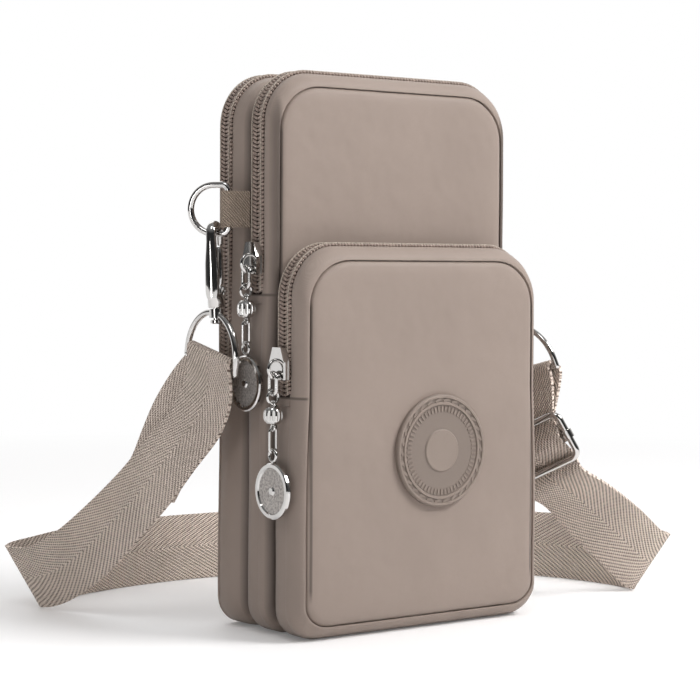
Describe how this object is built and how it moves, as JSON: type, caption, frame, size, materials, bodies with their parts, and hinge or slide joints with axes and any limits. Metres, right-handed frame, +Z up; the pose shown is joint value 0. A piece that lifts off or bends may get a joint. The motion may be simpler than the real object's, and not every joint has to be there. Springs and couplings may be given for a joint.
{
  "type": "phone pouch",
  "caption": "Upright padded phone pouch with zipped compartments, ring pulls with disc charms, snap hooks on side rings and a woven shoulder strap lying behind it.",
  "frame": {"origin": "centre of the pouch's base on the ground", "axes": "+X to the right seen from the front, the front faces -Y, +Z up"},
  "size_m": [0.221, 0.1455, 0.1858],
  "materials": {
    "cloth": "padded taupe nylon with a soft sheen",
    "lining": "smooth lining cloth",
    "webbing": "herringbone webbing",
    "tape": "woven zip tape",
    "coil": "satin nylon coil",
    "patch": "matt moulded rubber",
    "nickel": "polished nickel plate"
  },
  "bodies": {
    "pouch": {"rear_panel": "cloth", "rear_gusset": "cloth", "divider_panel": "cloth", "middle_gusset": "cloth", "middle_panel": "cloth", "pocket_gusset": "cloth", "pocket_panel": "cloth", "rear_lining": "lining", "middle_lining": "lining", "pocket_lining": "lining", "rear_tape_fixed": "tape", "rear_coil_fixed": "coil", "middle_tape_fixed": "tape", "middle_coil_fixed": "coil", "pocket_tape_fixed": "tape", "pocket_coil_fixed": "coil", "left_tab": "webbing", "right_tab": "webbing", "left_d_ring": "nickel", "right_d_ring": "nickel", "left_eye": "nickel", "right_eye": "nickel", "strap": "webbing", "adjuster_frame": "nickel", "round_patch": "patch"},
    "rear_flap": {"rear_flap_panel": "cloth", "rear_tape_flap": "tape", "rear_coil_flap": "coil"},
    "middle_flap": {"middle_flap_panel": "cloth", "middle_flap_strip": "cloth", "middle_tape_flap": "tape", "middle_coil_flap": "coil"},
    "pocket_flap": {"pocket_flap_panel": "cloth", "pocket_flap_strip": "cloth", "pocket_tape_flap": "tape", "pocket_coil_flap": "coil"},
    "rear_zip": {"rear_slider": "nickel"},
    "rear_pull": {"rear_pull_ring": "nickel", "rear_bead": "nickel"},
    "rear_charm": {"rear_link": "nickel", "rear_pendant": "nickel"},
    "middle_zip": {"middle_slider": "nickel"},
    "middle_pull": {"middle_pull_ring": "nickel", "middle_bead": "nickel"},
    "middle_charm": {"middle_link": "nickel", "middle_pendant": "nickel"},
    "pocket_zip": {"pocket_slider": "nickel"},
    "pocket_pull": {"pocket_pull_ring": "nickel", "pocket_bead": "nickel"},
    "pocket_charm": {"pocket_link": "nickel", "pocket_pendant": "nickel"},
    "left_snap": {"left_hook": "nickel"},
    "left_latch": {"left_gate": "nickel"},
    "right_snap": {"right_hook": "nickel"},
    "right_latch": {"right_gate": "nickel"},
    "length_bar": {"adjuster_bar": "nickel"}
  },
  "joints": [
    {"name": "rear_flap_fold", "type": "hinge", "parent": "pouch", "child": "rear_flap", "pos_m": [0, 0.025, 0.132], "axis": [-1, 0, 0], "range_deg": [0, 60]},
    {"name": "middle_flap_fold", "type": "hinge", "parent": "pouch", "child": "middle_flap", "pos_m": [0, -0.008, 0.132], "axis": [1, 0, 0], "range_deg": [0, 60]},
    {"name": "pocket_flap_fold", "type": "hinge", "parent": "pouch", "child": "pocket_flap", "pos_m": [0, -0.0258, 0.084], "axis": [1, 0, 0], "range_deg": [0, 60]},
    {"name": "rear_zip_slide", "type": "slide", "parent": "pouch", "child": "rear_zip", "axis": [0, 0, 1], "range_m": [-0.001, 0.036]},
    {"name": "middle_zip_slide", "type": "slide", "parent": "pouch", "child": "middle_zip", "axis": [0, 0, 1], "range_m": [-0.005, 0.038]},
    {"name": "pocket_zip_slide", "type": "slide", "parent": "pouch", "child": "pocket_zip", "axis": [0, 0, 1], "range_m": [-0.004, 0.015]},
    {"name": "rear_pull_swing", "type": "hinge", "parent": "rear_zip", "child": "rear_pull", "pos_m": [0.0548, 0.02015, 0.1091], "axis": [0, -1, 0], "range_deg": [0, 12]},
    {"name": "middle_pull_swing", "type": "hinge", "parent": "middle_zip", "child": "middle_pull", "pos_m": [-0.0548, 0.00145, 0.1211], "axis": [1, 0, 0], "range_deg": [-2, 2.5]},
    {"name": "pocket_pull_swing", "type": "hinge", "parent": "pocket_zip", "child": "pocket_pull", "pos_m": [-0.0548, -0.01415, 0.0871], "axis": [0, 1, 0], "range_deg": [0, 60]},
    {"name": "rear_charm_twist", "type": "hinge", "parent": "rear_pull", "child": "rear_charm", "pos_m": [0.0548, 0.02015, 0.09135], "axis": [0, 0, 1], "range_deg": [-15, 15]},
    {"name": "middle_charm_twist", "type": "hinge", "parent": "middle_pull", "child": "middle_charm", "pos_m": [-0.0548, 0.00145, 0.10335], "axis": [0, 0, 1], "range_deg": [-18, 0]},
    {"name": "pocket_charm_swing", "type": "hinge", "parent": "pocket_pull", "child": "pocket_charm", "pos_m": [-0.0548, -0.01415, 0.06935], "axis": [0, 1, 0], "range_deg": [0, 24]},
    {"name": "left_snap_swivel", "type": "hinge", "parent": "pouch", "child": "left_snap", "pos_m": [-0.05923, 0.01358, 0.132], "axis": [0, 0.0499, 0.9988], "range_deg": [-12, 12]},
    {"name": "left_gate_spring", "type": "hinge", "parent": "left_snap", "child": "left_latch", "pos_m": [-0.05648, 0.01465, 0.11332], "axis": [0.5883, -0.8076, 0.0404], "range_deg": [0, 10], "stiffness_Nm_per_rad": 0.02},
    {"name": "right_snap_swivel", "type": "hinge", "parent": "pouch", "child": "right_snap", "pos_m": [0.05914, 0.01128, 0.1239], "axis": [-0.2693, 0.2195, 0.9377], "range_deg": [-12, 12]},
    {"name": "right_gate_spring", "type": "hinge", "parent": "right_snap", "child": "right_latch", "pos_m": [0.06575, 0.00441, 0.10757], "axis": [-0.8404, -0.529, -0.1176], "range_deg": [0, 10], "stiffness_Nm_per_rad": 0.02},
    {"name": "length_bar_slide", "type": "slide", "parent": "pouch", "child": "length_bar", "axis": [-0.3817, 0.3013, 0.8738], "range_m": [-0.0008, 0.0008]}
  ]
}
